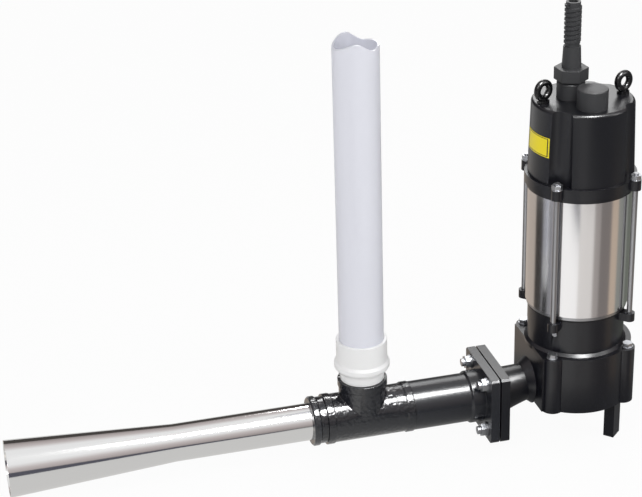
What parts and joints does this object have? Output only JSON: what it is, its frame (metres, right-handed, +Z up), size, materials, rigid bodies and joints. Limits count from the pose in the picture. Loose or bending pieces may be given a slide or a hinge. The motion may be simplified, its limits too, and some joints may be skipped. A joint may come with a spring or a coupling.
{
  "type": "jet aerator",
  "caption": "Submersible pump with a square-flanged jet pipe, an air tee with an upright pipe, and a flared stainless diffuser that throws aerated water sideways.",
  "frame": {"origin": "on the floor, under the middle of the whole unit's bounding box", "axes": "+Z up the pump shaft and the air pipe; +X from the diffuser mouth towards the pump, so the jet leaves towards -X; +Y across the unit"},
  "size_m": [0.934, 0.166, 0.667],
  "materials": {
    "black_enamel": "gloss black enamel on cast iron",
    "eye_enamel": "gloss black enamel on forged steel",
    "slate_enamel": "gloss slate enamel on cast iron",
    "collar_enamel": "gloss slate enamel, worn at the edges",
    "polished_stainless": "polished stainless sheet",
    "diffuser_stainless": "polished stainless tube",
    "stainless": "bright stainless bar",
    "zinc_steel": "bright zinc plate",
    "bearing_steel": "ground bearing steel",
    "lamination_steel": "varnished electrical steel",
    "copper_winding": "varnished copper winding",
    "seal_ceramic": "lapped seal face",
    "seal_rubber": "black nitrile rubber",
    "gland_plastic": "matte charcoal nylon",
    "adaptor_plastic": "white moulded plastic",
    "air_pipe_plastic": "smooth pale plastic pipe"
  },
  "bodies": {
    "casing": {"volute_casing": "black_enamel", "suction_plate": "black_enamel", "suction_plate_screws": "zinc_steel", "seal_housing": "black_enamel", "oil_plug": "zinc_steel", "casing_bolts": "zinc_steel", "casing_bolt_washers": "zinc_steel", "tie_rods": "stainless", "tie_rod_nuts": "zinc_steel", "tie_rod_washers": "zinc_steel", "housing_gasket": "seal_rubber", "shell_seat_ring": "stainless", "motor_shell": "polished_stainless", "stator_core": "lamination_steel", "stator_windings": "copper_winding", "lower_bearing_outer_ring": "bearing_steel", "upper_bearing_outer_ring": "bearing_steel", "seal_seat": "seal_ceramic", "top_cover": "black_enamel", "lifting_eyes": "eye_enamel", "gland_body": "gland_plastic", "gland_grommet": "seal_rubber", "gland_nut": "gland_plastic", "strain_relief_sleeve": "gland_plastic", "blind_cap": "gland_plastic", "flange_gasket": "seal_rubber", "flange_bolts": "zinc_steel", "flange_nuts": "zinc_steel", "flange_washers": "zinc_steel", "jet_pipe": "slate_enamel", "nozzle": "slate_enamel", "tee": "slate_enamel", "diffuser_socket": "slate_enamel", "diffuser_seal": "seal_rubber", "lock_collar": "collar_enamel", "diffuser": "diffuser_stainless", "branch_adaptor": "adaptor_plastic", "air_pipe": "air_pipe_plastic"},
    "rotor": {"shaft": "stainless", "rotor_core": "lamination_steel", "impeller": "black_enamel", "impeller_key": "zinc_steel", "impeller_nut": "zinc_steel", "seal_face": "seal_ceramic", "seal_spring": "stainless", "lower_bearing_inner_ring": "bearing_steel", "upper_bearing_inner_ring": "bearing_steel"},
    "lower_cage": {"lower_bearing_balls": "bearing_steel"},
    "upper_cage": {"upper_bearing_balls": "bearing_steel"}
  },
  "joints": [
    {"name": "rotor_spin", "type": "hinge", "parent": "casing", "child": "rotor", "pos_m": [0.384, 0, 0.3], "axis": [0, 0, 1], "continuous": true},
    {"name": "lower_cage_spin", "type": "hinge", "parent": "casing", "child": "lower_cage", "pos_m": [0.384, 0, 0.2], "axis": [0, 0, 1], "continuous": true},
    {"name": "upper_cage_spin", "type": "hinge", "parent": "casing", "child": "upper_cage", "pos_m": [0.384, 0, 0.416], "axis": [0, 0, 1], "continuous": true}
  ],
  "couplings": [
    {"joint": "lower_cage_spin", "follows": "rotor_spin", "ratio": 0.422},
    {"joint": "upper_cage_spin", "follows": "rotor_spin", "ratio": 0.41}
  ]
}
